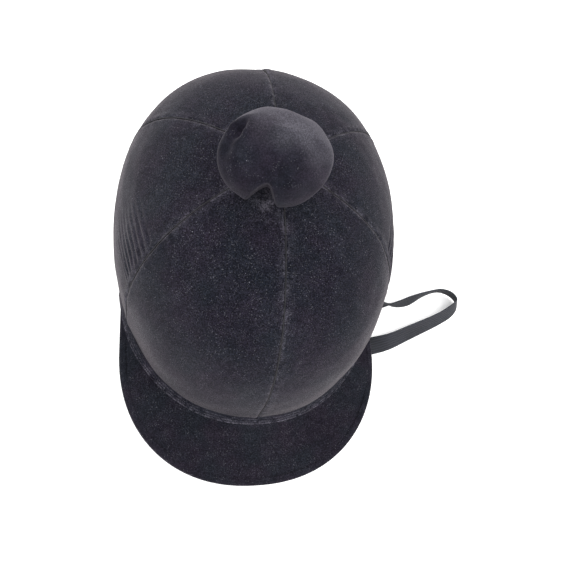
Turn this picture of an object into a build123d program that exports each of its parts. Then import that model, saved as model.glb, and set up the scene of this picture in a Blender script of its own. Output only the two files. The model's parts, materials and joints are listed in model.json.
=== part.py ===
"""Velvet-covered riding helmet: a hard skull, its padding and harness, and a
removable six-gore velvet cover with a peak and a pompom.

Millimetres. +Z is up, the peak points along -Y and the wearer's left is +X.
The origin is the centre of the rim, on the plane that the helmet stands on.
"""

from build123d import *
from functools import lru_cache
import math
import os

# Outer velvet surface of the crown.
HALF_WIDTH = 111.0
HALF_LENGTH = 138.0
HEIGHT = 166.0
SKIRT_HEIGHT = 22.0
PLAN_POWER = 2.16
PROFILE_POWER = 2.65
FRONT_NARROWING = 0.06
SKIRT_FLARE = 0.015

# Every layer of the helmet, as its depths below the outer velvet surface.
BRIM_BAND = (-1.4, -0.2)
BRIM_BAND_RISE = (0.4, 7.0)
VELVET = (0.0, 1.4)
COVER_INSIDE = (1.6, 2.2)
SHELL = (2.4, 5.0)
TAB = (5.4, 6.6)
WASHER = (6.7, 7.3)
LINER = (5.2, 23.0)
LINING = (23.2, 24.2)
SWEATBAND = (24.4, 26.2)
HEAD_PADS = (26.4, 31.0)
RIVET_TAIL = 8.2
RIVET_RECESS = 9.2

# The rim arches up over each ear on one large radius.
ARCH_RADIUS = 382.0
ARCH_HEIGHT = 11.0
ARCH_CENTRE_Y = -21.0
TRIM_HEIGHT = 2.5
FIT = 0.2

# Heights above the rim, and angles from the front, that the padding fills.
LINING_FOOT = 4.0
SWEATBAND_HEIGHTS = (6.0, 40.0)
HEAD_PAD_HEIGHTS = (8.0, 36.0)
FRONT_PAD_ANGLES = (-42.0, 42.0)
REAR_PAD_ANGLES = (138.0, 222.0)
SIDE_PAD_ANGLES = (50.0, 130.0)
CROWN_PAD_RADIUS = 46.0
CROWN_PAD_THICKNESS = 7.7
CROWN_PAD_FOOT = 90.0

# Seams of the cover, as angles from the front.
FRONT_SEAM = 60.0
REAR_SEAM = 123.7
SEAM_GAP = 0.25
BUTTON_RADIUS = 6.0
BUTTON_THICKNESS = 1.6
SEAM_TAPE_WIDTH = 9.0
SEAM_TAPE_FOOT = 14.0
SEAM_TAPE_TOP_RADIUS = 24.0
HEM_ELASTIC_HEIGHTS = (3.5, 12.0)
COVER_FOOT = 1.2
ELASTIC_ROWS = 8
ELASTIC_PITCH = 5.8
ELASTIC_FIRST_HEIGHT = 86.0
ELASTIC_WIDTH = 2.4
ELASTIC_FROM_SEAMS = (5.0, 8.0)

# Peak: part of a large sphere, trimmed to its outline.
PEAK_HALF_WIDTH = 106.2
PEAK_LENGTH = 107.0
PEAK_CENTRE_Y = -80.2
PEAK_TAIL_Y = -30.0
PEAK_POWER = 2.2
PEAK_SPHERE_RADIUS = 440.0
PEAK_SPHERE_Y = -60.0
PEAK_SPHERE_TOP = 24.6
PEAK_TOP_CLOTH = (0.0, 1.0)
PEAK_BOARD = (1.2, 3.2)
PEAK_UNDER_CLOTH = (3.4, 4.2)
PEAK_CLOTH_INSET = 1.6
PEAK_BINDING_WIDTH = 5.0
PEAK_BINDING_OUTSIDE = 1.0
PEAK_BINDING_INSIDE = 0.2
PEAK_BINDING_POCKET = 1.4
PEAK_BINDING_END_Y = -35.0

# Pompom, flopped forwards and to the wearer's right.
POMPOM_CENTRE = Vector(-11.0, -19.0, 197.5)
POMPOM_RADII = (33.8, 28.8, 27.5)
POMPOM_SKIN = 1.4
POMPOM_NECK_DEPTH = 14.0
KNOT_CENTRE = Vector(0.0, 0.0, 168.6)
KNOT_RADIUS = 1.8
TIE_RADIUS = 3.5
TIE_REACH = (2.4, 13.5)

# Chin strap and its hinges, one on each side of the rim.
EYE = Vector(81.0, -85.0, 3.2)
EYE_FACING = 56.0
EYE_BORE = 1.7
EYE_RADIUS = 2.6
EYE_LENGTH = 5.0
EYE_CLEARANCE = 0.6
RING_RADIUS = 9.0
RING_WIRE = 1.1
TAB_WIDTH = 12.0
TAB_TOP = 38.0
RIVET_HEIGHT = 28.0
RIVET_RADIUS = 2.0
RIVET_HEAD_RADIUS = 4.2
RIVET_HEAD_THICKNESS = 0.9
RIVET_BORE = 0.1
WEB_WIDTH = 15.0
WEB_THICKNESS = 1.4
WEB_FOLD_RADIUS = 2.9
WEB_FOLD_WIDTH = 5.0
WEB_FOLD_JOIN = 2.3
WEB_FOLD_SHOULDER = 13.0
RUN_HEIGHT = 3.8
RUN_START = Vector(-72.0, -74.0, RUN_HEIGHT)
RUN_END = Vector(110.0, -33.0, RUN_HEIGHT)

# Side-release buckle, in its own frame: x along the strap, z up.
BUCKLE_FROM_START = 62.0
BUCKLE_HEIGHT = 4.2
SOCKET_LENGTH = 22.0
SOCKET_WIDTH = 24.0
BUCKLE_THICKNESS = 7.2
SOCKET_CAVITY_WIDTH = 18.0
SOCKET_CAVITY_HEIGHT = 4.2
SOCKET_ROUNDING = 2.4
SOCKET_WINDOW = (7.8, 10.6)
SOCKET_FRAME_END = 34.0
SOCKET_BAR = 29.0
FRAME_WALL = 2.0
FRAME_THICKNESS = 5.6
BAR_RADIUS = 1.3
PLUG_BASE = (-8.5, -0.4)
PLUG_FRAME = (-18.0, -7.0)
PLUG_BAR = -13.0
TONGUE = (-5.0, 17.0)
TONGUE_SECTION = (2.4, 3.2)
PRONG_PIVOT = (-1.5, 6.0)
PRONG_HUB_RADIUS = 1.5
PRONG_HUB_CLEARANCE = 0.3
PRONG_HEIGHT = 3.4
PRONG_WIDTH = 2.4
PRONG_LENGTH = 18.0
PRESS_PAD = (13.0, 7.6, 5.6)
KEEPER_FROM_BUCKLE = 60.0
KEEPER_LENGTH = 8.0
KEEPER_HEIGHT = 5.6
KEEPER_ROUNDING = 1.0

# Sizes of the shapes that only cut others.
FAR = 400.0
LOW_FOOT = -16.0


def signed_power(value, power):
    """value raised to power, keeping its sign."""
    return math.copysign(abs(value) ** power, value)


def plan_radius(angle, depth):
    """Radius of the crown's widest oval at an angle from the front."""
    s = math.sin(angle)
    c = math.cos(angle)
    across = (abs(s) / (HALF_WIDTH - depth)) ** PLAN_POWER
    along = (abs(c) / (HALF_LENGTH - depth)) ** PLAN_POWER
    oval = (across + along) ** (-1 / PLAN_POWER)
    return oval * (1 - FRONT_NARROWING * c * s * s)


def oval_wire(depth, height, scale, points=36):
    """Closed smooth oval of the crown at one height."""
    corners = []
    for k in range(points):
        angle = math.tau * k / points
        r = plan_radius(angle, depth) * scale
        corners.append(Vector(r * math.sin(angle), -r * math.cos(angle), height))
    return Wire([Edge.make_spline(corners, periodic=True)])


@lru_cache(maxsize=None)
def dome(depth, foot=-12.0, steps=12):
    """Solid crown whose surface lies depth below the velvet surface."""
    top = HEIGHT - depth
    foot_scale = 1 + SKIRT_FLARE * (1 - foot / SKIRT_HEIGHT)
    wires = [
        oval_wire(depth, foot, foot_scale),
        oval_wire(depth, SKIRT_HEIGHT / 2, 1 + SKIRT_FLARE / 2),
        oval_wire(depth, SKIRT_HEIGHT, 1.0),
    ]
    for k in range(1, steps + 1):
        angle = math.radians(7.3 * k)
        rise = math.sin(angle) ** (2 / PROFILE_POWER)
        scale = math.cos(angle) ** (2 / PROFILE_POWER)
        wires.append(oval_wire(depth, SKIRT_HEIGHT + (top - SKIRT_HEIGHT) * rise, scale))
    return Solid.make_loft(wires, ruled=False)


@lru_cache(maxsize=None)
def layer(depths):
    """Dome-shaped layer between two depths, open at the bottom."""
    outer, inner = depths
    return dome(outer) - dome(inner, foot=LOW_FOOT)


@lru_cache(maxsize=None)
def below_rim(height):
    """Everything lower than height above the arched rim."""
    arch_axis = ARCH_HEIGHT - ARCH_RADIUS + height
    arch = Pos(0, ARCH_CENTRE_Y, arch_axis) * Rot(0, 90, 0) * Cylinder(ARCH_RADIUS, FAR)
    floor = Pos(0, 0, height) * Box(FAR, FAR, 60, align=(Align.CENTER, Align.CENTER, Align.MAX))
    return floor + arch


def between_heights(low, high):
    """Slab of space between two heights above the arched rim."""
    return below_rim(high) - below_rim(low)


def wedge(start, end, bottom=-50.0):
    """Upright wedge of space between two angles from the front, in degrees."""
    corners = [(0.0, 0.0)]
    for k in range(5):
        angle = math.radians(start + (end - start) * k / 4)
        corners.append((FAR * math.sin(angle), -FAR * math.cos(angle)))
    return Pos(0, 0, bottom) * extrude(make_face(Polyline(*corners, close=True)), amount=300)


def mirrored(shape):
    """The same piece on the wearer's other side."""
    return mirror(shape, about=Plane.YZ)


def save(name, shape):
    """Write one named piece."""
    shape.label = name
    export_step(shape, f"parts/{name}.step")


def save_pair(name, shape):
    """Write a piece of the wearer's left and its mirror image."""
    save(f"{name}_left", shape)
    save(f"{name}_right", mirrored(shape))


# ---------------------------------------------------------------- skull


def tab_slot(width, depths, top):
    """Upright slab that a harness tab passes through, on the wearer's left."""
    slab = Box(FAR / 4, width, top, align=(Align.CENTER, Align.CENTER, Align.MIN))
    return layer(depths) & (Pos(EYE.X, EYE.Y, 0) * Rot(0, 0, EYE_FACING - 90) * slab)


def tab_passage():
    """Slot that leaves a little room all round a harness tab."""
    return tab_slot(TAB_WIDTH + 1, (TAB[0] - 2 * FIT, TAB[1] + FIT), TAB_TOP + 2)


def eye_room():
    """Room for the hinge eye under the rim."""
    return eye_cylinder(EYE_RADIUS + EYE_CLEARANCE, EYE_LENGTH + 2)


def rivet_axis(radius):
    """Cylinder along the left rivet's axis, from outside to inside the helmet."""
    turn = Rot(0, 0, EYE_FACING - 90) * Rot(0, 90, 0)
    return Pos(EYE.X, EYE.Y, RIVET_HEIGHT) * turn * Cylinder(radius, FAR / 8)


def eye_cylinder(radius, length):
    """Cylinder along the left hinge eye."""
    return Pos(EYE) * Rot(0, 90, 0) * Cylinder(radius, length)


def both_sides(shape):
    """A shape together with its mirror image."""
    return shape + mirrored(shape)


def outer_shell():
    """Hard shell, with a countersunk hole for each rivet."""
    holes = rivet_axis(RIVET_RADIUS + RIVET_BORE)
    countersink = layer((SHELL[0] - FIT, SHELL[0] + RIVET_HEAD_THICKNESS + 0.3))
    holes += rivet_axis(RIVET_HEAD_RADIUS + FIT) & countersink
    return layer(SHELL) - below_rim(TRIM_HEIGHT + FIT) - both_sides(holes)


def impact_liner():
    """Foam liner, with a slot and a recess for each harness tab and its rivet."""
    recess = rivet_axis(RIVET_HEAD_RADIUS + 1) & layer((LINER[0] - RIVET_BORE, RIVET_RECESS))
    cuts = both_sides(tab_passage() + recess + eye_room())
    return layer(LINER) - below_rim(TRIM_HEIGHT + FIT) - cuts


def rim_trim():
    """Moulded edge that closes the shell and the liner along the rim."""
    band = layer((SHELL[0], LINER[1])) & between_heights(0, TRIM_HEIGHT)
    return band - both_sides(tab_passage() + eye_room())


def harness_tab():
    """Riveted tab with a hinge eye at its foot, on the wearer's left."""
    strip = tab_slot(TAB_WIDTH, TAB, TAB_TOP) - below_rim(-2.0)
    tab = strip + eye_cylinder(EYE_RADIUS, EYE_LENGTH)
    tab -= eye_cylinder(EYE_BORE, TAB_WIDTH * 2)
    return tab - rivet_axis(RIVET_RADIUS + RIVET_BORE)


def harness_rivet():
    """Rivet through the shell, the tab and its washer."""
    head_top = SHELL[0] + 0.1
    shank = rivet_axis(RIVET_RADIUS) & layer((head_top, RIVET_TAIL))
    outer_head = rivet_axis(RIVET_HEAD_RADIUS) & layer((head_top, head_top + RIVET_HEAD_THICKNESS))
    inner_head = rivet_axis(RIVET_HEAD_RADIUS) & layer((WASHER[1] + 0.1, RIVET_TAIL))
    return shank + outer_head + inner_head


def rivet_washer():
    """Washer between the tab and the rivet's inner head."""
    disc = rivet_axis(RIVET_HEAD_RADIUS + 0.6) - rivet_axis(RIVET_RADIUS + RIVET_BORE)
    return disc & layer(WASHER)


def head_pad(angles):
    """Soft pad inside the sweatband, between two angles from the front."""
    band = layer(HEAD_PADS) & between_heights(*HEAD_PAD_HEIGHTS)
    return band & wedge(*angles)


def crown_pad():
    """Round pad under the crown."""
    outer_depth = LINING[1] + 0.3
    cap = dome(outer_depth) - dome(outer_depth + CROWN_PAD_THICKNESS)
    column = Pos(0, 0, CROWN_PAD_FOOT) * Cylinder(
        CROWN_PAD_RADIUS, HEIGHT, align=(Align.CENTER, Align.CENTER, Align.MIN)
    )
    return cap & column


def build_skull():
    """Shell, liner, padding and harness."""
    save("outer_shell", outer_shell())
    save("impact_liner", impact_liner())
    save("rim_trim", rim_trim())
    save("lining_cloth", layer(LINING) - below_rim(LINING_FOOT))
    save("sweatband", layer(SWEATBAND) & between_heights(*SWEATBAND_HEIGHTS))
    save("front_head_pad", head_pad(FRONT_PAD_ANGLES))
    save("rear_head_pad", head_pad(REAR_PAD_ANGLES))
    save_pair("side_head_pad", head_pad(SIDE_PAD_ANGLES))
    save("crown_pad", crown_pad())
    save_pair("harness_tab", harness_tab())
    rivet = harness_rivet()
    save("harness_rivets", Compound(children=[rivet, mirrored(rivet)]))
    washer = rivet_washer()
    save("rivet_washers", Compound(children=[washer, mirrored(washer)]))


# ---------------------------------------------------------------- cover


def gore(start, end):
    """Velvet panel of the cover between two seams."""
    piece = layer(VELVET) - below_rim(COVER_FOOT)
    piece = piece & wedge(start + SEAM_GAP, end - SEAM_GAP)
    return piece - Pos(0, 0, 150) * Cylinder(BUTTON_RADIUS + 0.3, 100)


def seam_tapes():
    """One flat tape under each seam, from the hem to the crown."""
    inside = layer(COVER_INSIDE) - below_rim(SEAM_TAPE_FOOT)
    inside -= Pos(0, 0, 150) * Cylinder(SEAM_TAPE_TOP_RADIUS, 100)
    tapes = []
    for angle in (0, FRONT_SEAM, REAR_SEAM, 180, -REAR_SEAM, -FRONT_SEAM):
        slab = Box(SEAM_TAPE_WIDTH, FAR, FAR, align=(Align.CENTER, Align.MAX, Align.MIN))
        tapes.append(inside & (Rot(0, 0, angle) * slab))
    return Compound(children=[solid for tape in tapes for solid in tape.solids()])


def side_elastic():
    """Rows of narrow elastic that gather the left side gore."""
    start = FRONT_SEAM + ELASTIC_FROM_SEAMS[0]
    end = REAR_SEAM - ELASTIC_FROM_SEAMS[1]
    inside = layer(COVER_INSIDE) & wedge(start, end)
    rows = []
    for k in range(ELASTIC_ROWS):
        row = Pos(0, 0, ELASTIC_FIRST_HEIGHT + ELASTIC_PITCH * k) * Box(FAR, FAR, ELASTIC_WIDTH)
        rows.append(inside & row)
    return Compound(children=[solid for row in rows for solid in row.solids()])


def peak_outline(inset):
    """Plan face of the peak: a half superellipse with straight tails."""
    half_width = PEAK_HALF_WIDTH - inset
    length = PEAK_LENGTH - inset
    corners = []
    for k in range(25):
        angle = math.radians(-90 + 180 * k / 24)
        x = half_width * signed_power(math.sin(angle), 2 / PEAK_POWER)
        y = PEAK_CENTRE_Y - length * signed_power(math.cos(angle), 2 / PEAK_POWER)
        corners.append((x, y))
    front = Spline(*corners, tangents=((0, -1), (0, 1)))
    tail = Polyline(
        (half_width, PEAK_CENTRE_Y),
        (half_width, PEAK_TAIL_Y),
        (-half_width, PEAK_TAIL_Y),
        (-half_width, PEAK_CENTRE_Y),
    )
    return make_face([front, tail])


def peak_sphere(depth):
    """Ball whose surface lies depth below the peak's upper face."""
    centre_z = PEAK_SPHERE_TOP - PEAK_SPHERE_RADIUS
    return Pos(0, PEAK_SPHERE_Y, centre_z) * Sphere(PEAK_SPHERE_RADIUS - depth)


def peak_sheet(depths, inset):
    """Curved sheet of the peak between two depths, up to the crown."""
    column = Pos(0, 0, -10) * extrude(peak_outline(inset), amount=50)
    sheet = (column & peak_sphere(depths[0])) - peak_sphere(depths[1])
    return sheet - dome(BRIM_BAND[1])


def peak_edge_binding():
    """Folded binding around the free edge of the peak."""
    outside = (-PEAK_BINDING_OUTSIDE, PEAK_UNDER_CLOTH[1] + PEAK_BINDING_OUTSIDE)
    inside = (-PEAK_BINDING_INSIDE, PEAK_UNDER_CLOTH[1] + PEAK_BINDING_INSIDE)
    fold = peak_sheet(outside, 0) - peak_sheet(inside, PEAK_BINDING_POCKET)
    middle = Pos(0, 0, -10) * extrude(peak_outline(PEAK_BINDING_WIDTH), amount=50)
    tails = Pos(0, PEAK_BINDING_END_Y, 0) * Box(
        FAR, 60, 100, align=(Align.CENTER, Align.MIN, Align.CENTER)
    )
    return fold - middle - tails - dome(BRIM_BAND[0] - 0.3)


def brim_band():
    """Narrow velvet band over the seam between crown and peak."""
    space = peak_sphere(-BRIM_BAND_RISE[1]) - peak_sphere(-BRIM_BAND_RISE[0])
    front = Pos(0, PEAK_TAIL_Y - 4, 0) * Box(
        FAR, FAR, FAR, align=(Align.CENTER, Align.MAX, Align.CENTER)
    )
    return layer(BRIM_BAND) & (space & front)


def crown_button():
    """Flat button over the meeting point of the seams, dished for the knot."""
    disc = Cylinder(BUTTON_RADIUS, BUTTON_THICKNESS, align=(Align.CENTER, Align.CENTER, Align.MIN))
    return Pos(0, 0, HEIGHT + 0.15) * disc - Pos(KNOT_CENTRE) * Sphere(KNOT_RADIUS + FIT)


def build_cover():
    """Removable cover: gores, tapes, elastics and peak."""
    save("gore_front_left", gore(0, FRONT_SEAM))
    save("gore_front_right", mirrored(gore(0, FRONT_SEAM)))
    save_pair("gore_side", gore(FRONT_SEAM, REAR_SEAM))
    save_pair("gore_rear", gore(REAR_SEAM, 180))
    save("seam_tapes", seam_tapes())
    save_pair("side_elastic", side_elastic())
    save("hem_elastic", layer(COVER_INSIDE) & between_heights(*HEM_ELASTIC_HEIGHTS))
    save("peak_top_cloth", peak_sheet(PEAK_TOP_CLOTH, PEAK_CLOTH_INSET))
    save("peak_board", peak_sheet(PEAK_BOARD, PEAK_CLOTH_INSET))
    save("peak_under_cloth", peak_sheet(PEAK_UNDER_CLOTH, PEAK_CLOTH_INSET))
    save("peak_edge_binding", peak_edge_binding())
    save("brim_band", brim_band())
    save("crown_button", crown_button())


# ---------------------------------------------------------------- pompom


def ellipsoid(inset):
    """Squashed ball of the pompom, a distance inside its surface."""
    radii = [r - inset for r in POMPOM_RADII]
    return Pos(POMPOM_CENTRE) * scale(Sphere(1.0), by=tuple(radii))


def neck_cylinder(radius, start, end):
    """Cylinder from the knot towards the pompom's centre."""
    direction = (POMPOM_CENTRE - KNOT_CENTRE).normalized()
    plane = Plane(origin=KNOT_CENTRE + direction * start, z_dir=direction)
    return plane * Cylinder(radius, end - start, align=(Align.CENTER, Align.CENTER, Align.MIN))


def build_pompom():
    """Velvet skin, its wadding, and the cord and knot that hold it."""
    neck_hole = neck_cylinder(TIE_RADIUS + FIT, 0, POMPOM_NECK_DEPTH)
    save("pompom_skin", ellipsoid(0) - ellipsoid(POMPOM_SKIN) - neck_hole)
    save("pompom_wadding", ellipsoid(POMPOM_SKIN + 0.3) - neck_hole)
    save("pompom_tie", neck_cylinder(TIE_RADIUS, *TIE_REACH))
    save("pompom_knot", Pos(KNOT_CENTRE) * Sphere(KNOT_RADIUS))


# ---------------------------------------------------------------- chin strap


def web_section(centre, travel, roll, half_width):
    """Cross-section of the webbing; roll 0 is flat and 90 is on edge."""
    level = Vector(-travel.Y, travel.X, 0).normalized()
    roll = math.radians(roll)
    across = level * math.cos(roll) + Vector(0, 0, 1) * math.sin(roll)
    through = travel.cross(across).normalized() * (WEB_THICKNESS / 2)
    across = across * half_width
    corners = [
        centre + across + through,
        centre - across + through,
        centre - across - through,
        centre + across - through,
    ]
    return Wire.make_polygon(corners, close=True)


def webbing(stations):
    """Strap through stations of (x, y, z, roll, half width)."""
    centres = [Vector(*station[:3]) for station in stations]
    wires = []
    for k, station in enumerate(stations):
        before = centres[max(k - 1, 0)]
        after = centres[min(k + 1, len(centres) - 1)]
        travel = (after - before).normalized()
        wires.append(web_section(centres[k], travel, station[3], station[4]))
    lengths = [Solid.make_loft(list(pair), ruled=True) for pair in zip(wires, wires[1:])]
    return lengths[0].fuse(*lengths[1:])


def strap_ring(side):
    """Wire ring through a hinge eye; side is 1 for the wearer's left."""
    centre = Vector(side * EYE.X, EYE.Y + RING_RADIUS, EYE.Z)
    return Pos(centre) * Torus(RING_RADIUS, RING_WIRE)


def across_strap(centre, direction):
    """Plane through a point, facing across a strap that leaves in a direction."""
    return Plane(origin=centre, z_dir=Vector(-direction.Y, direction.X, 0))


def strap_fold(centre, direction):
    """Short folded end of the webbing around a ring's wire."""
    return across_strap(centre, direction) * Cylinder(WEB_FOLD_RADIUS, WEB_FOLD_WIDTH)


def strap_fold_bore(centre, direction):
    """Bore of a folded end, in which the ring's wire turns."""
    return across_strap(centre, direction) * Cylinder(EYE_BORE, 30.0)


def run_direction():
    """Direction of the straight run, from the wearer's right to their left."""
    flat = RUN_END - RUN_START
    return Vector(flat.X, flat.Y, 0).normalized()


def buckle_place():
    """Location of the buckle's own frame."""
    direction = run_direction()
    centre = RUN_START + direction * BUCKLE_FROM_START
    turn = math.degrees(math.atan2(direction.Y, direction.X))
    return Pos(centre.X, centre.Y, BUCKLE_HEIGHT) * Rot(0, 0, turn)


def strap_loop(bar_x):
    """Webbing folded around a strap bar of the buckle."""
    place = buckle_place() * Pos(bar_x, 0, 0) * Rot(90, 0, 0)
    return place * Cylinder(BAR_RADIUS + 1.3, WEB_WIDTH)


def strap_loop_bore(bar_x):
    """Bore of that fold, a little wider than the bar."""
    place = buckle_place() * Pos(bar_x, 0, 0) * Rot(90, 0, 0)
    return place * Cylinder(BAR_RADIUS + FIT, 40)


def on_run(distance, height=RUN_HEIGHT):
    """Point on the straight run, a distance beyond the buckle's frame."""
    point = RUN_START + run_direction() * (BUCKLE_FROM_START + distance)
    return (point.X, point.Y, height)


def left_strap():
    """Long strap: out past the peak's side, round its loop and back inside."""
    half = WEB_WIDTH / 2
    ring_side = Vector(EYE.X + RING_RADIUS, EYE.Y + RING_RADIUS, EYE.Z)
    stations = [
        (ring_side.X + WEB_FOLD_JOIN, ring_side.Y, EYE.Z, 0, WEB_FOLD_WIDTH / 2 - 0.1),
        (102, -76, 3.1, 4, half),
        (112, -75.4, 3.2, 12, half),
        (128.6, -71, 5.4, 35, half),
        (152.8, -61.5, 6.6, 47, half),
        (175, -52.5, 7.7, 61, half),
        (190.7, -44.1, 8.2, 71, half),
        (198, -35.5, 8.6, 85, half),
        (193.2, -27.2, 8.6, 82, half),
        (182.3, -23.7, 8.5, 78, half),
        (167.5, -27.2, 8.5, 88, half),
        (151.8, -33.6, 8.4, 106, half),
        (140.4, -36.7, 8.2, 96, half),
        (131, -36.8, 7.6, 71, half),
        (122.5, -35.4, 5.6, 33, half),
        (115, -34, 4.1, 6, half),
        (*RUN_END, 0, half),
        (*on_run(SOCKET_LENGTH + 13), 0, half),
        (*on_run(SOCKET_LENGTH + 9.4, BUCKLE_HEIGHT), 0, half),
    ]
    outwards = Vector(1, 0, 0)
    strap = webbing(stations) + strap_fold(ring_side, outwards) + strap_loop(SOCKET_BAR)
    return strap - strap_loop_bore(SOCKET_BAR) - strap_fold_bore(ring_side, outwards)


def right_strap():
    """Short strap between the right ring and the plug."""
    half = WEB_WIDTH / 2
    direction = run_direction()
    ring_centre = Vector(-EYE.X, EYE.Y + RING_RADIUS, EYE.Z)
    ring_side = ring_centre + direction * RING_RADIUS
    start = ring_side + direction * WEB_FOLD_JOIN
    widened = ring_side + direction * WEB_FOLD_SHOULDER
    stations = [
        (*start, 0, WEB_FOLD_WIDTH / 2 - 0.1),
        (*widened, 0, half),
        (*on_run(PLUG_BAR - 7.5), 0, half),
        (*on_run(PLUG_BAR - 2.4, BUCKLE_HEIGHT), 0, half),
    ]
    strap = webbing(stations) + strap_fold(ring_side, direction) + strap_loop(PLUG_BAR)
    return strap - strap_loop_bore(PLUG_BAR) - strap_fold_bore(ring_side, direction)


def strap_frame(bar_x, start, end):
    """Open frame around a strap bar, at the end of a buckle half."""
    middle = (start + end) / 2
    length = end - start
    frame = Pos(middle, 0, 0) * Box(length, SOCKET_WIDTH, FRAME_THICKNESS)
    window = Box(length - 2 * FRAME_WALL, WEB_WIDTH + 1.2, BUCKLE_THICKNESS)
    bar = Pos(bar_x, 0, 0) * Rot(90, 0, 0) * Cylinder(BAR_RADIUS, SOCKET_WIDTH - 1)
    return (frame - Pos(middle, 0, 0) * window) + bar


def buckle_socket():
    """Hollow half of the buckle, with a side window for each prong."""
    low = (Align.MIN, Align.CENTER, Align.CENTER)
    body = Box(SOCKET_LENGTH, SOCKET_WIDTH, BUCKLE_THICKNESS, align=low)
    body = fillet(body.edges().filter_by(Axis.X), SOCKET_ROUNDING)
    cavity = Box(SOCKET_LENGTH - 1, SOCKET_CAVITY_WIDTH, SOCKET_CAVITY_HEIGHT, align=low)
    window_start, window_length = SOCKET_WINDOW
    windows = Box(window_length, SOCKET_WIDTH + 4, SOCKET_CAVITY_HEIGHT, align=low)
    hollow = body - Pos(-1, 0, 0) * cavity - Pos(window_start, 0, 0) * windows
    frame = strap_frame(SOCKET_BAR, SOCKET_LENGTH - FRAME_WALL, SOCKET_FRAME_END)
    inside = Box(4, SOCKET_WIDTH, BUCKLE_THICKNESS, align=low)
    open_end = Box(4, WEB_WIDTH + 1.2, BUCKLE_THICKNESS, align=low)
    frame -= Pos(SOCKET_LENGTH - 4, 0, 0) * inside
    frame -= Pos(SOCKET_FRAME_END - 3, 0, 0) * open_end
    return buckle_place() * (hollow + frame)


def buckle_plug():
    """Flat half of the buckle: strap frame, base and centre tongue."""
    low = (Align.MIN, Align.CENTER, Align.CENTER)
    base_start, base_end = PLUG_BASE
    base = Box(base_end - base_start, SOCKET_WIDTH - 2, FRAME_THICKNESS, align=low)
    base = Pos(base_start, 0, 0) * base
    socket_height = PRONG_HEIGHT + 0.4
    hub_radius = PRONG_HUB_RADIUS + PRONG_HUB_CLEARANCE
    for side in (-1, 1):
        pivot = Pos(PRONG_PIVOT[0], side * PRONG_PIVOT[1], 0)
        base -= pivot * Cylinder(hub_radius, socket_height)
        base -= pivot * Box(4, PRONG_WIDTH + 1, socket_height, align=low)
    tongue_start, tongue_end = TONGUE
    tongue = Box(tongue_end - tongue_start, *TONGUE_SECTION, align=low)
    frame_start, frame_end = PLUG_FRAME
    open_end = Box(4.5, WEB_WIDTH + 1.2, BUCKLE_THICKNESS, align=low)
    frame = strap_frame(PLUG_BAR, frame_start, frame_end) - Pos(frame_start - 2, 0, 0) * open_end
    return buckle_place() * (base + Pos(tongue_start, 0, 0) * tongue + frame)


def buckle_prong():
    """Springy prong with its press pad, on the buckle's +y side."""
    pivot_x, pivot_y = PRONG_PIVOT
    pad_x, pad_length, pad_width = PRESS_PAD
    hub = Pos(pivot_x, pivot_y, 0) * Cylinder(PRONG_HUB_RADIUS, PRONG_HEIGHT)
    arm = Box(PRONG_LENGTH, PRONG_WIDTH, PRONG_HEIGHT)
    pad = Pos(pad_x, pivot_y + 3.4, 0) * Box(pad_length, pad_width, PRONG_HEIGHT)
    return hub + Pos(pivot_x + PRONG_LENGTH / 2, pivot_y, 0) * arm + pad


def strap_keeper():
    """Loop that slides along the strap and holds its free end."""
    ring = Box(KEEPER_LENGTH, WEB_WIDTH + 4, KEEPER_HEIGHT)
    hole = Box(KEEPER_LENGTH + 2, WEB_WIDTH + 0.8, WEB_THICKNESS + 1.0)
    loop = ring - hole
    place = buckle_place() * Pos(KEEPER_FROM_BUCKLE, 0, RUN_HEIGHT - BUCKLE_HEIGHT)
    return place * fillet(loop.edges().filter_by(Axis.X).group_by(Axis.Z)[-1], KEEPER_ROUNDING)


def build_strap():
    """Rings, webbing, buckle and keeper of the chin strap."""
    save("strap_ring_left", strap_ring(1))
    save("strap_ring_right", strap_ring(-1))
    save("chin_strap_left", left_strap())
    save("chin_strap_right", right_strap())
    save("buckle_socket", buckle_socket())
    save("buckle_plug", buckle_plug())
    save("buckle_prong_rear", buckle_place() * buckle_prong())
    save("buckle_prong_front", buckle_place() * mirror(buckle_prong(), about=Plane.XZ))
    save("strap_keeper", strap_keeper())


os.makedirs("parts", exist_ok=True)
build_skull()
build_cover()
build_pompom()
build_strap()
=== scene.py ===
"""Velvet riding helmet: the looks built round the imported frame."""

import json
import math

import bmesh
import bpy
import numpy as np
from mathutils import Matrix, Vector


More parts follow.
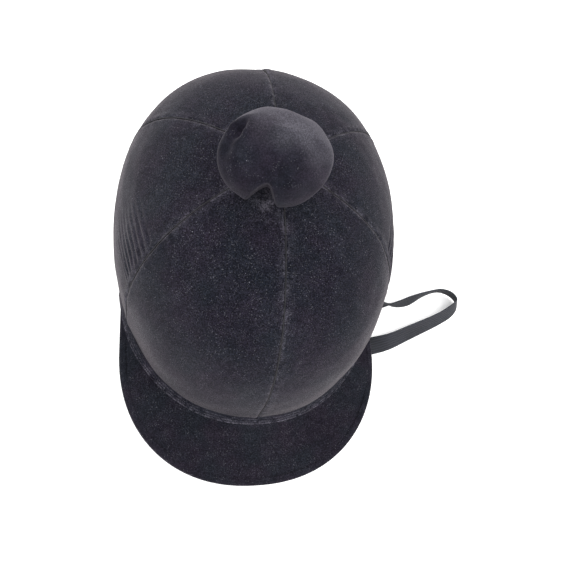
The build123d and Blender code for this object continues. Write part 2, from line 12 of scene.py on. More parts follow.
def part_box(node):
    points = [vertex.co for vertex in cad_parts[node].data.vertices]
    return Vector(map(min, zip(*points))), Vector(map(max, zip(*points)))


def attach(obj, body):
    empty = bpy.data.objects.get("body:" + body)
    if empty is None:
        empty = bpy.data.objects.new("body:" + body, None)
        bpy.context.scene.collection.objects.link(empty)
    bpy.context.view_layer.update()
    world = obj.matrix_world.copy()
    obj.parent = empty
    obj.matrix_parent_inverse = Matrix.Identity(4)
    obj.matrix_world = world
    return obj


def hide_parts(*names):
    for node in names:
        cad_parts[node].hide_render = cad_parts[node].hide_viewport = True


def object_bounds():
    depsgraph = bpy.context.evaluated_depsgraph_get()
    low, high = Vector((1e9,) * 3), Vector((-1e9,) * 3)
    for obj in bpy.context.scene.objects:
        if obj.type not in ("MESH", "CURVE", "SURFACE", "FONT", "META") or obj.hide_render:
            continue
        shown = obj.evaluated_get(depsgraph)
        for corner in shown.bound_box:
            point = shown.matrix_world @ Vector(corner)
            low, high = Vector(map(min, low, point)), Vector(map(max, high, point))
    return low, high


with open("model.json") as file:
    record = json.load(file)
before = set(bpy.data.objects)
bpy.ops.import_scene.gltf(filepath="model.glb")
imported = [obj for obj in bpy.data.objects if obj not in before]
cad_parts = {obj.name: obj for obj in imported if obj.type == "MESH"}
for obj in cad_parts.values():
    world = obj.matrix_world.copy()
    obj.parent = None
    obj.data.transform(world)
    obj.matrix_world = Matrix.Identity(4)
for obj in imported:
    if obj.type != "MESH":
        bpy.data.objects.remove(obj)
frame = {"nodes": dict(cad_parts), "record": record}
cad_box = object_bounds()
MM = 0.001

# ------------------------------------------------------------ proportions of the crown, mm

gore_low, gore_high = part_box("gore_side_left")
rear_low, rear_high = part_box("gore_rear_left")
SKIRT_HEIGHT = 22.0
SKIRT_FLARE = 0.015
PLAN_POWER = 2.16
PROFILE_POWER = 2.65
FRONT_NARROWING = 0.06
HALF_WIDTH = 111.0
HALF_LENGTH = 138.0
HEIGHT = 166.0
ARCH_RADIUS = 382.0
ARCH_HEIGHT = 11.0
ARCH_CENTRE_Y = -21.0
FRONT_SEAM = math.radians(60.0)
REAR_SEAM = math.radians(123.7)
BUTTON_RADIUS = 6.0
PEAK_HALF_WIDTH = 106.2
PEAK_LENGTH = 107.0
PEAK_CENTRE_Y = -80.2
PEAK_TAIL_Y = -34.0
PEAK_POWER = 2.2
PEAK_SPHERE_RADIUS = 440.0
PEAK_SPHERE_Y = -60.0
PEAK_SPHERE_TOP = 24.6
ELASTIC_PITCH = 5.8
ELASTIC_FIRST_HEIGHT = 86.0
ELASTIC_ROWS = 8


def plan_radius(angle, depth):
    """Radius of the crown's widest oval at an angle from the front."""
    s = np.sin(angle)
    c = np.cos(angle)
    oval = (
        (np.abs(s) / (HALF_WIDTH - depth)) ** PLAN_POWER
        + (np.abs(c) / (HALF_LENGTH - depth)) ** PLAN_POWER
    ) ** (-1 / PLAN_POWER)
    return oval * (1 - FRONT_NARROWING * c * s * s)


def dome_points(angle, rise, depth):
    """Points on the crown: rise is -1 at the foot, 0 at the skirt's top and 1 at the apex."""
    angle, rise, depth = np.broadcast_arrays(angle, rise, depth)
    bend = np.clip(rise, 0, 1) * math.pi / 2
    top = HEIGHT - depth
    upper = SKIRT_HEIGHT + (top - SKIRT_HEIGHT) * np.sin(bend) ** (2 / PROFILE_POWER)
    z = np.where(rise < 0, SKIRT_HEIGHT * (1 + rise), upper)
    scale = np.where(rise < 0, 1 - SKIRT_FLARE * rise, np.cos(bend) ** (2 / PROFILE_POWER))
    r = plan_radius(angle, depth) * scale
    return np.stack([r * np.sin(angle), -r * np.cos(angle), z], -1)


def rise_at_height(z, depth=0.0):
    """The rise at which the crown reaches a height."""
    part = np.clip((z - SKIRT_HEIGHT) / (HEIGHT - depth - SKIRT_HEIGHT), 0, 1)
    upper = np.arcsin(part ** (PROFILE_POWER / 2)) / (math.pi / 2)
    return np.where(z < SKIRT_HEIGHT, z / SKIRT_HEIGHT - 1, upper)


def rim_height(angle):
    """Height of the arched rim at an angle from the front."""
    y = -plan_radius(angle, 0) * np.cos(angle) - ARCH_CENTRE_Y
    return np.maximum(0, ARCH_HEIGHT - ARCH_RADIUS + np.sqrt(ARCH_RADIUS**2 - y**2))


def waves(points, size, seed, count=14):
    """Smooth noise of about +-1: a sum of plane waves with seeded directions."""
    draw = np.random.default_rng(seed)
    total = np.zeros(points.shape[:-1])
    for _ in range(count):
        direction = draw.normal(size=3)
        direction /= np.linalg.norm(direction)
        pitch = size * draw.uniform(0.6, 1.6)
        total += np.cos(points @ direction * (2 * math.pi / pitch) + draw.uniform(0, 2 * math.pi))
    return total / math.sqrt(count / 2)


def set_field(obj, name, values):
    """A value from 0 to 1 at each point for the velvet: how much paler the pile is drawn along ridges, with painted
    highlights, and how much painted sheen one side of the pompom gets.
    """
    attribute = obj.data.attributes.new(name, "FLOAT", "POINT")
    attribute.data.foreach_set("value", np.asarray(values, np.float32).ravel())


def bump_at(distance, width):
    return np.exp(-((distance / width) ** 2))


# ------------------------------------------------------------ mesh making


def grid_normals(p):
    """Unit normals of a grid of points."""
    du = np.gradient(p, axis=0)
    dv = np.gradient(p, axis=1)
    n = np.cross(du, dv)
    return n / np.maximum(np.linalg.norm(n, axis=-1, keepdims=True), 1e-9)


def new_object(name, verts, faces, uvs=None):
    mesh = bpy.data.meshes.new(name)
    mesh.from_pydata([tuple(v) for v in (np.asarray(verts) * MM).tolist()], [], faces)
    if uvs is not None:
        layer = mesh.uv_layers.new(name="cloth")
        loops = np.zeros(len(mesh.loops), np.int32)
        mesh.loops.foreach_get("vertex_index", loops)
        layer.data.foreach_set("uv", np.asarray(uvs, np.float32)[loops].ravel())
    made = bmesh.new()
    made.from_mesh(mesh)
    bmesh.ops.recalc_face_normals(made, faces=made.faces)
    made.to_mesh(mesh)
    made.free()
    for polygon in mesh.polygons:
        polygon.use_smooth = True
    obj = bpy.data.objects.new(name, mesh)
    bpy.context.scene.collection.objects.link(obj)
    return obj


def sheet(name, outer, inner, uv=None, closed_u=False):
    """Closed sheet between an outer and an inner grid of points."""
    nu, nv = outer.shape[:2]
    verts = np.concatenate([outer.reshape(-1, 3), inner.reshape(-1, 3)])
    offset = nu * nv
    faces = []
    last = nu if closed_u else nu - 1
    for i in range(last):
        j = (i + 1) % nu
        for k in range(nv - 1):
            a, b, c, d = i * nv + k, j * nv + k, j * nv + k + 1, i * nv + k + 1
            faces.append((a, b, c, d))
            faces.append((d + offset, c + offset, b + offset, a + offset))
        for k in (0, nv - 1):
            a, b = i * nv + k, j * nv + k
            faces.append((a, a + offset, b + offset, b))
    if not closed_u:
        for i in (0, nu - 1):
            for k in range(nv - 1):
                a, b = i * nv + k, i * nv + k + 1
                faces.append((a, b, b + offset, a + offset))
    uvs = None
    if uv is not None:
        flat = uv.reshape(-1, 2)
        uvs = np.concatenate([flat, flat])
    return new_object(name, verts, faces, uvs)


def even_rises(angle, start, end, depth, count):
    """Rises from start to end, evenly spaced along the surface."""
    fine = np.linspace(start, end, 400)
    p = dome_points(np.full(400, angle), fine, depth)
    length = np.concatenate([[0], np.cumsum(np.linalg.norm(np.diff(p, axis=0), axis=1))])
    return np.interp(np.linspace(0, length[-1], count), length, fine), length[-1]


def dome_grid(angles, start, end, depth, count):
    """Grid on the crown, with its distances along the surface in mm."""
    rises = np.zeros((len(angles), count))
    along = np.zeros((len(angles), count))
    for i, angle in enumerate(angles):
        rises[i], length = even_rises(angle, start[i], end[i], depth, count)
        along[i] = np.linspace(0, length, count)
    return dome_points(angles[:, None], rises, depth), rises, along


# ------------------------------------------------------------ materials


def nodes_of(name):
    material = bpy.data.materials.new(name)
    material.use_nodes = True
    tree = material.node_tree
    shader = tree.nodes["Principled BSDF"]
    return material, tree, shader


def add(tree, kind, **values):
    node = tree.nodes.new(kind)
    for key, value in values.items():
        if key in node.inputs:
            node.inputs[key].default_value = value
        else:
            setattr(node, key, value)
    return node


def object_position(tree):
    return add(tree, "ShaderNodeTexCoord").outputs["Object"]


def noise(tree, scale, detail=4.0, rough=0.55):
    node = add(tree, "ShaderNodeTexNoise", Scale=scale, Detail=detail, Roughness=rough)
    tree.links.new(object_position(tree), node.inputs["Vector"])
    return node.outputs["Fac"]


def ramp(tree, source, low, high, colour_low, colour_high):
    node = add(tree, "ShaderNodeValToRGB")
    node.color_ramp.elements[0].position = low
    node.color_ramp.elements[1].position = high
    node.color_ramp.elements[0].color = (*colour_low, 1)
    node.color_ramp.elements[1].color = (*colour_high, 1)
    tree.links.new(source, node.inputs["Fac"])
    return node.outputs["Color"]


def ramp_value(tree, source, low, high):
    node = add(tree, "ShaderNodeMapRange")
    tree.links.new(source, node.inputs["Value"])
    node.inputs["From Min"].default_value = low
    node.inputs["From Max"].default_value = high
    return node.outputs["Result"]


def mix(tree, factor, first, second, blend="MIX"):
    node = add(tree, "ShaderNodeMix", data_type="RGBA", blend_type=blend)
    for index, value in ((0, factor), (6, first), (7, second)):
        if isinstance(value, bpy.types.NodeSocket):
            tree.links.new(value, node.inputs[index])
        else:
            node.inputs[index].default_value = value if index == 0 else (*value, 1)
    return node.outputs[2]


def maths(tree, operation, first, second=0.0):
    node = add(tree, "ShaderNodeMath", operation=operation)
    for index, value in ((0, first), (1, second)):
        if isinstance(value, bpy.types.NodeSocket):
            tree.links.new(value, node.inputs[index])
        else:
            node.inputs[index].default_value = value
    return node.outputs[0]


def bump(tree, shader, height, distance, strength=1.0, below=None):
    node = add(tree, "ShaderNodeBump", Distance=distance, Strength=strength)
    tree.links.new(height, node.inputs["Height"])
    if below is not None:
        tree.links.new(below, node.inputs["Normal"])
    tree.links.new(node.outputs["Normal"], shader.inputs["Normal"])
    return node.outputs["Normal"]


def velvet(name, dark, light, edge, sheen=0.05, lint=0.5, pile_contrast=1.0, painted_sheen_gain=(1.0, 0.0)):
    """Short upright pile: dark head on, with a painted sheen that turns it paler at a glancing angle, mottled where it
    is crushed, and drawn paler along seams and crests and in a painted highlight where a per-point field is set.
    """
    material, tree, shader = nodes_of(name)
    crushed = noise(tree, 24.0, 6.0, 0.62)
    streaks = noise(tree, 160.0, 5.0, 0.7)
    hue = noise(tree, 37.0, 3.0, 0.5)
    pile = noise(tree, 1150.0, 3.0, 0.8)
    mottled = ramp(tree, crushed, 0.36, 0.66, dark, light)
    mottled = mix(tree, 0.5, mottled, ramp(tree, streaks, 0.38, 0.66, dark, light))
    tint = ramp(tree, hue, 0.38, 0.62, (0.89, 1.04, 1.02), (1.10, 0.96, 1.05))
    mottled = mix(tree, 1.0, mottled, tint, "MULTIPLY")
    # Painted sheen: at glancing angles the colour is drawn towards the pale edge colour, in patches, and more where the
    # pompom's per-point sheen field is high.
    facing = add(tree, "ShaderNodeLayerWeight", Blend=0.5).outputs["Facing"]
    painted_sheen_side = add(tree, "ShaderNodeAttribute", attribute_name="painted_sheen_side").outputs["Fac"]
    painted_sheen = maths(tree, "POWER", facing, 5.4)
    patchy = maths(tree, "ADD", maths(tree, "MULTIPLY", crushed, 1.0), maths(tree, "MULTIPLY", streaks, 0.9))
    painted_sheen = maths(tree, "MULTIPLY", painted_sheen, patchy)
    painted_sheen = maths(tree, "MULTIPLY", painted_sheen, maths(tree, "ADD", maths(tree, "MULTIPLY", painted_sheen_side, painted_sheen_gain[1]), painted_sheen_gain[0]))
    colour = mix(tree, painted_sheen, mottled, edge)
    # Drawn paler where the per-point field is set: along seams, crests and edges, and as a painted highlight on the
    # crown under the pompom.
    pale_ridges_and_highlight = add(tree, "ShaderNodeAttribute", attribute_name="pale_ridges_and_highlight").outputs["Fac"]
    pale_ridges_and_highlight_mask = maths(tree, "MULTIPLY", pale_ridges_and_highlight, ramp_value(tree, streaks, 0.42, 0.62))
    colour = mix(tree, pale_ridges_and_highlight_mask, colour, (0.105, 0.10, 0.115))
    # Painted sheen: paler on the side of the pompom that its per-point field marks as lit.
    painted_side_sheen = maths(tree, "MULTIPLY", painted_sheen_side, ramp_value(tree, crushed, 0.18, 0.60))
    colour = mix(tree, painted_side_sheen, colour, (0.070, 0.067, 0.075))
    low, high = 1 - 0.60 * pile_contrast, 1 + 1.7 * pile_contrast
    grain = ramp(tree, pile, 0.42, 0.68, (low, low, low * 1.05), (high, high * 0.98, high * 1.05))
    colour = mix(tree, 1.0, colour, grain, "MULTIPLY")
    for scale, size, keep, tone in ((900.0, 0.22, lint - 0.06, 0.055), (520.0, 0.17, lint, 0.08), (170.0, 0.05, lint + 0.07, 0.20)):
        cells = add(tree, "ShaderNodeTexVoronoi", Scale=scale, feature="F1")
        tree.links.new(object_position(tree), cells.inputs["Vector"])
        speck = maths(tree, "LESS_THAN", cells.outputs["Distance"], size)
        rare = maths(tree, "GREATER_THAN", noise(tree, 55.0 + scale / 10, 3.0), keep)
        fleck = maths(tree, "MULTIPLY", maths(tree, "MULTIPLY", speck, rare), 0.7)
        colour = mix(tree, fleck, colour, (tone * 0.95, tone * 0.95, tone * 1.1))
    tree.links.new(colour, shader.inputs["Base Color"])
    shader.inputs["Roughness"].default_value = 0.95
    shader.inputs["Specular IOR Level"].default_value = 0.06
    shader.inputs["Sheen Weight"].default_value = sheen
    shader.inputs["Sheen Roughness"].default_value = 0.5
    shader.inputs["Sheen Tint"].default_value = (0.9, 0.84, 0.93, 1)
    coarse = bump(tree, shader, crushed, 0.0009, 0.4)
    bump(tree, shader, pile, 0.0003, 0.8, below=coarse)
    return material


def woven(name, dark, light, pitch, rough=0.8, sheen=0.15, ribs=False, depth=0.00025):
    """Cloth with a visible weave from its UVs in metres: threads each way, or lengthwise ribs."""
    material, tree, shader = nodes_of(name)
    uv = add(tree, "ShaderNodeTexCoord").outputs["UV"]
    split = add(tree, "ShaderNodeSeparateXYZ")
    tree.links.new(uv, split.inputs[0])
    turn = 2 * math.pi / pitch
    across = maths(tree, "SINE", maths(tree, "MULTIPLY", split.outputs[0], turn))
    along = maths(tree, "SINE", maths(tree, "MULTIPLY", split.outputs[1], turn * (2.5 if ribs else 1)))
    if ribs:
        weave = maths(tree, "ADD", across, maths(tree, "MULTIPLY", along, 0.2))
    else:
        weave = maths(tree, "MULTIPLY", across, along)
    level = maths(tree, "ADD", maths(tree, "MULTIPLY", weave, 0.35), 0.5)
    tone_marks = noise(tree, 40.0, 5.0)
    fibre = noise(tree, 2500.0, 2.0)
    colour = mix(tree, level, dark, light)
    colour = mix(tree, 0.35, colour, ramp(tree, tone_marks, 0.3, 0.7, dark, light))
    tree.links.new(colour, shader.inputs["Base Color"])
    shader.inputs["Roughness"].default_value = rough
    shader.inputs["Specular IOR Level"].default_value = 0.25
    shader.inputs["Sheen Weight"].default_value = sheen
    coarse = bump(tree, shader, level, depth, 0.9)
    bump(tree, shader, fibre, depth * 0.5, 0.5, below=coarse)
    return material


def knitted(name, dark, light, scale, sheen=0.25):
    """Soft knit or terry with no UVs: small cells in the object's own space."""
    material, tree, shader = nodes_of(name)
    cells = add(tree, "ShaderNodeTexVoronoi", Scale=scale, feature="F1")
    tree.links.new(object_position(tree), cells.inputs["Vector"])
    height = maths(tree, "SUBTRACT", 1.0, cells.outputs["Distance"])
    colour = mix(tree, height, dark, light)
    colour = mix(tree, 0.4, colour, ramp(tree, noise(tree, 30.0), 0.35, 0.7, dark, light))
    tree.links.new(colour, shader.inputs["Base Color"])
    shader.inputs["Roughness"].default_value = 0.9
    shader.inputs["Sheen Weight"].default_value = sheen
    bump(tree, shader, height, 0.0005, 0.7)
    return material


def moulded(name, colour, rough, grain=0.00006, coat=0.0, metal=0.0):
    """Moulded plastic, foam skin, rubber or plated metal with fine grain and handling marks."""
    material, tree, shader = nodes_of(name)
    marks = noise(tree, 90.0, 6.0, 0.6)
    fine = noise(tree, 2200.0, 2.0)
    paler = tuple(min(1.0, c * 1.35 + 0.004) for c in colour)
    tree.links.new(ramp(tree, marks, 0.35, 0.75, colour, paler), shader.inputs["Base Color"])
    spread = maths(tree, "ADD", maths(tree, "MULTIPLY", marks, 0.22), rough - 0.1)
    tree.links.new(spread, shader.inputs["Roughness"])
    shader.inputs["Metallic"].default_value = metal
    shader.inputs["Coat Weight"].default_value = coat
    bump(tree, shader, fine, grain, 0.6)
    return material


def bead_foam(name):
    """Expanded bead foam: packed cells a few millimetres across."""
    material, tree, shader = nodes_of(name)
    cells = add(tree, "ShaderNodeTexVoronoi", Scale=330.0, feature="DISTANCE_TO_EDGE")
    tree.links.new(object_position(tree), cells.inputs["Vector"])
    colour = ramp(tree, cells.outputs["Distance"], 0.0, 0.12, (0.02, 0.02, 0.022), (0.055, 0.055, 0.06))
    tree.links.new(colour, shader.inputs["Base Color"])
    shader.inputs["Roughness"].default_value = 0.6
    bump(tree, shader, cells.outputs["Distance"], 0.0006, 0.7)
    return material


MATERIALS = {
    # The third colour of each velvet is its painted sheen colour at glancing angles; the pompom's last pair sets how
    # much of that painted sheen depends on its lit side.
    "velvet": velvet("velvet", (0.0045, 0.0048, 0.0075), (0.0115, 0.0112, 0.0150), (0.080, 0.073, 0.073)),
    "peak_velvet": velvet("peak_velvet", (0.006, 0.006, 0.0085), (0.0125, 0.0120, 0.0155), (0.05, 0.045, 0.05), 0.03, 0.56, 0.8),
    "pompom_velvet": velvet("pompom_velvet", (0.004, 0.004, 0.0065), (0.014, 0.013, 0.018), (0.095, 0.088, 0.100), 0.03, 0.62, 0.45, (0.25, 0.9)),
    "seam_cloth": moulded("seam_cloth", (0.012, 0.0118, 0.0145), 0.95, 0.0002),
    "shell_plastic": moulded("shell_plastic", (0.012, 0.012, 0.013), 0.3, coat=0.4),
    "impact_foam": bead_foam("impact_foam"),
    "trim_rubber": moulded("trim_rubber", (0.018, 0.018, 0.02), 0.62, 0.0001),
    "lining_cloth": woven("lining_cloth", (0.02, 0.02, 0.024), (0.06, 0.06, 0.068), 0.0011),
    "sweatband_cloth": knitted("sweatband_cloth", (0.02, 0.02, 0.024), (0.075, 0.075, 0.082), 900.0),
    "pad_cloth": knitted("pad_cloth", (0.018, 0.018, 0.021), (0.06, 0.06, 0.066), 1300.0),
    "tab_plastic": moulded("tab_plastic", (0.03, 0.03, 0.033), 0.5),
    "bright_metal": moulded("bright_metal", (0.55, 0.55, 0.57), 0.3, 0.00002, metal=1.0),
    "tape_cloth": woven("tape_cloth", (0.016, 0.016, 0.019), (0.05, 0.05, 0.056), 0.0008),
    "elastic": woven("elastic", (0.016, 0.016, 0.019), (0.052, 0.052, 0.058), 0.0010, ribs=True),
    "peak_board": moulded("peak_board", (0.10, 0.095, 0.09), 0.7),
    "under_cloth": woven("under_cloth", (0.014, 0.014, 0.018), (0.04, 0.04, 0.047), 0.0009),
    "wadding": knitted("wadding", (0.5, 0.5, 0.48), (0.75, 0.75, 0.72), 250.0),
    "thread": moulded("thread", (0.02, 0.02, 0.024), 0.7, 0.0001),
    "webbing": woven("webbing", (0.0025, 0.0027, 0.004), (0.030, 0.032, 0.042), 0.00214, 0.65, 0.0, True, 0.0005),
    "buckle_plastic": moulded("buckle_plastic", (0.02, 0.02, 0.022), 0.42),
}


def dress(obj, slot, body=None, *stands_for):
    """Gives a piece its material and its body, and hides the CAD nodes that it stands for."""
    obj.data.materials.clear()
    obj.data.materials.append(MATERIALS[slot])
    if body:
        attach(obj, body)
    if stands_for:
        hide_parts(*stands_for)
    return obj


for entry in frame["record"]["subparts"]:
    node = frame["nodes"][entry["node"]]
    node.data.materials.clear()
    node.data.materials.append(MATERIALS[entry["material_slot"]])

# ------------------------------------------------------------ velvet cover

VELVET_THICKNESS = 1.3


def seam_shape(distance, along):
    """Outward offset near a sewn edge: the cloth rolls in, with a soft ridge and small puckers beside it."""
    roll = -0.75 * bump_at(distance, 0.9) + 0.30 * bump_at(distance - 3.0, 2.2)
    pucker = 0.10 * np.sin(along * (2 * math.pi / 7.5) + np.sin(along * 0.11) * 2.0)
    return roll + pucker * bump_at(distance, 5.0)


def shirring(angle, height):
    """Ridges of the elasticated sides: strong behind the front seam, fading backwards."""
    size = np.abs(angle)
    start = np.clip((size - FRONT_SEAM - 0.02) / 0.05, 0, 1)
    fade = np.clip((math.radians(92) - size) / math.radians(30), 0, 1) ** 1.2
    bottom = ELASTIC_FIRST_HEIGHT - ELASTIC_PITCH * 0.6
    top = bottom + ELASTIC_PITCH * (ELASTIC_ROWS + 0.4)
    inside = np.clip((height - bottom) / 4, 0, 1) * np.clip((top - height) / 4, 0, 1)
    phase = (height - ELASTIC_FIRST_HEIGHT) / ELASTIC_PITCH + 0.16 * np.sin(size * 9)
    ridge = np.abs(np.sin(phase * math.pi)) - 0.55
    uneven = 0.75 + 0.35 * np.sin(height * 0.9 + size * 23)
    return 1.75 * ridge * uneven * start * fade * inside


def gore(name, start, end, seed):
    columns, rows = 110, 170
    side = np.linspace(0, 1, columns)
    side = side - 0.12 * np.sin(2 * math.pi * side) / (2 * math.pi) * 2
    gap = math.radians(0.10)
    angles = start + gap * np.sign(end - start) + (end - start - 2 * gap * np.sign(end - start)) * side
    low = rise_at_height(rim_height(angles) + 1.3)
    scale = BUTTON_RADIUS / plan_radius(angles, 0)
    high = np.arccos(np.clip(scale, 0, 1) ** (PROFILE_POWER / 2)) / (math.pi / 2)
    points, rises, along = dome_grid(angles, low, high, 0.0, rows)
    normals = grid_normals(points)
    outward = np.sign((normals * points).sum(-1, keepdims=True))
    normals = normals * np.where(outward == 0, 1, outward)
    reach = np.linalg.norm(points[..., :2], axis=-1)
    from_seam = np.minimum(np.abs(angles - start), np.abs(end - angles))[:, None] * reach
    offset = seam_shape(from_seam, along)
    offset += 0.30 * waves(points, 52.0, seed) + 0.06 * waves(points, 18.0, seed + 1)
    crown = np.clip(reach / 30.0, 0, 1)
    offset *= 0.35 + 0.65 * crown
    shirr = shirring(np.broadcast_to(angles[:, None], reach.shape), points[..., 2])
    shirr = shirr * bump_at(np.maximum(0, 3 - from_seam), 2.0)
    offset += shirr
    offset -= 0.9 * bump_at(along, 2.2)
    offset = np.clip(offset, -1.3, 2.2)
    outer = points + normals * offset[..., None]
    inner = points + normals * np.minimum(offset - VELVET_THICKNESS, -0.7)[..., None]
    uv = np.stack([(angles - start)[:, None] * reach, along], -1) * MM
    obj = sheet(name, outer, inner, uv)
    # Drawn paler along the seam ridges and on the shirring crests; near the ball's foot a painted highlight on the
    # crown, which lies in the ball's shadow.
    pale_ridges_and_highlight = 0.30 * bump_at(from_seam - 0.9, 0.9) + 0.07 * bump_at(from_seam - 3.0, 3.0)
    pale_ridges_and_highlight = pale_ridges_and_highlight + 0.25 * np.clip(shirr - 0.25, 0, 1)
    under_ball = np.linalg.norm(points - np.array([-10.0, -29.0, 165.0]), axis=-1)
    pale_ridges_and_highlight = pale_ridges_and_highlight + 0.45 * bump_at(under_ball, 9.0)
    set_field(obj, "pale_ridges_and_highlight", np.concatenate([pale_ridges_and_highlight.ravel(), pale_ridges_and_highlight.ravel()]))
    return obj


SIDES = {"left": 1, "right": -1}
for side_name, sign in SIDES.items():
    for part, (first, last) in {
        "front": (0.0, FRONT_SEAM),
        "side": (FRONT_SEAM, REAR_SEAM),
        "rear": (REAR_SEAM, math.pi),
    }.items():
        seed = 11 * sign + 3 * len(part)
        piece = gore(f"velvet_{part}_{side_name}", sign * first, sign * last, seed + 100)
        dress(piece, "velvet", "cover", f"gore_{part}_{side_name}")


def seam_stitches(name, angle):
    """Fine raised thread line along one crown seam."""
    low = rise_at_height(rim_height(np.array([angle]))[0] + 2.5)
    count = 260
    rises, _ = even_rises(angle, low, 0.93, 0.05, count)
    points = dome_points(np.full(count, angle), rises, 0.05)
    return tube(name, points, 0.30, 6)


def tube(name, path, radius, around=8, closed=False):
    """Round thread or wire along a path of points."""
    count = len(path)
    if closed:
        travel = np.roll(path, -1, 0) - np.roll(path, 1, 0)
    else:
        travel = np.gradient(path, axis=0)
    travel /= np.linalg.norm(travel, axis=1, keepdims=True)
    up = np.tile(np.array([0.0, 0.0, 1.0]), (count, 1))
    steep = np.abs((travel * up).sum(1)) > 0.95
    up[steep] = (0.0, 1.0, 0.0)
    side = np.cross(travel, up)
    side /= np.linalg.norm(side, axis=1, keepdims=True)
    lift = np.cross(side, travel)
    verts = []
    for k in range(around):
        turn = 2 * math.pi * k / around
        verts.append(path + (side * math.cos(turn) + lift * math.sin(turn)) * np.reshape(radius, (-1, 1)))
    verts = np.stack(verts, 1).reshape(-1, 3)
    faces = []
    for i in range(count if closed else count - 1):
        j = (i + 1) % count
        for k in range(around):
            m = (k + 1) % around
            faces.append((i * around + k, i * around + m, j * around + m, j * around + k))
    if not closed:
        faces.append(tuple(range(around)))
        faces.append(tuple((count - 1) * around + k for k in range(around)))
    return new_object(name, verts, faces)


for label, angle in {
    "front": 0.0,
    "front_left": FRONT_SEAM,
    "front_right": -FRONT_SEAM,
    "rear_left": REAR_SEAM,
    "rear_right": -REAR_SEAM,
    "rear": math.pi,
}.items():
    dress(seam_stitches(f"seam_thread_{label}", angle), "seam_cloth", "cover")


def strip_on_dome(name, angles, low, high, depth, thickness, profile=None, closed=False, rows=14, fade=1.0):
    """Closed strip of cloth that lies on the crown between two heights."""
    points, _, along = dome_grid(angles, rise_at_height(low), rise_at_height(high), depth, rows)
    flat = points * np.array([1, 1, 0])
    outward = flat / np.maximum(np.linalg.norm(flat, axis=-1, keepdims=True), 1e-6)
    raised = np.zeros(along.shape) if profile is None else profile(along, along[:, -1:])
    raised = raised * np.broadcast_to(fade, angles.shape)[:, None]
    reach = np.linalg.norm(points[..., :2], axis=-1)
    uv = np.stack([along, angles[:, None] * reach], -1) * MM
    return sheet(name, points + outward * raised[..., None], points - outward * thickness, uv, closed)


# ------------------------------------------------------------ peak


def peak_height(x, y):
    """Height of the peak's upper surface."""
    flat = x**2 + (y - PEAK_SPHERE_Y) ** 2
    return PEAK_SPHERE_TOP - PEAK_SPHERE_RADIUS + np.sqrt(PEAK_SPHERE_RADIUS**2 - flat)


def peak_outline(inset, count):
    """Points of the peak's free edge in plan, from the right tail round to the left."""
    a = np.radians(np.linspace(-90, 90, 181))
    power = 2 / PEAK_POWER
    x = (PEAK_HALF_WIDTH - inset) * np.sign(np.sin(a)) * np.abs(np.sin(a)) ** power
    y = PEAK_CENTRE_Y - (PEAK_LENGTH - inset) * np.abs(np.cos(a)) ** power
    tail = np.linspace(PEAK_TAIL_Y, PEAK_CENTRE_Y, 24)[:-1]
    edge = PEAK_HALF_WIDTH - inset
    xs = np.concatenate([np.full(23, -edge), x, np.full(23, edge)])
    ys = np.concatenate([tail, y, tail[::-1]])
    length = np.concatenate([[0], np.cumsum(np.hypot(np.diff(xs), np.diff(ys)))])
    want = np.linspace(0, length[-1], count)
    return np.stack([np.interp(want, length, xs), np.interp(want, length, ys)], -1), want


def crown_edge(plan):
    """Where the straight line from each outline point to the rim's centre meets the crown."""
    angle = np.arctan2(plan[:, 0], -plan[:, 1])
    inner = plan.copy()
    for _ in range(4):
        z = peak_height(inner[:, 0], inner[:, 1])
        point = dome_points(angle, rise_at_height(z), -0.2)
        inner = point[:, :2]
    return inner


def peak_sheet(name, top, bottom, inset, slot, puff=0.0, seed=5):
    count, rows = 240, 40
    edge, along = peak_outline(inset, count)
    inner = crown_edge(edge)
    part = np.linspace(0, 1, rows)
    plan = inner[:, None] * (1 - part[None, :, None]) + edge[:, None] * part[None, :, None]
    z = peak_height(plan[..., 0], plan[..., 1])
    upper = np.concatenate([plan, (z - top)[..., None]], -1)
    lower = np.concatenate([plan, (z - bottom)[..., None]], -1)
    soft = puff * (waves(upper, 46.0, seed) * 0.5 + waves(upper, 17.0, seed + 1) * 0.25)
    width = np.linalg.norm(plan[:, -1] - plan[:, 0], axis=-1)[:, None]
    near_crown = part[None] * width
    upper[..., 2] += soft * np.clip(width / 12, 0, 1)
    upper[..., 2] += puff * 0.9 * bump_at(near_crown, 3.5)
    return sheet(name, upper, lower, plan * MM)


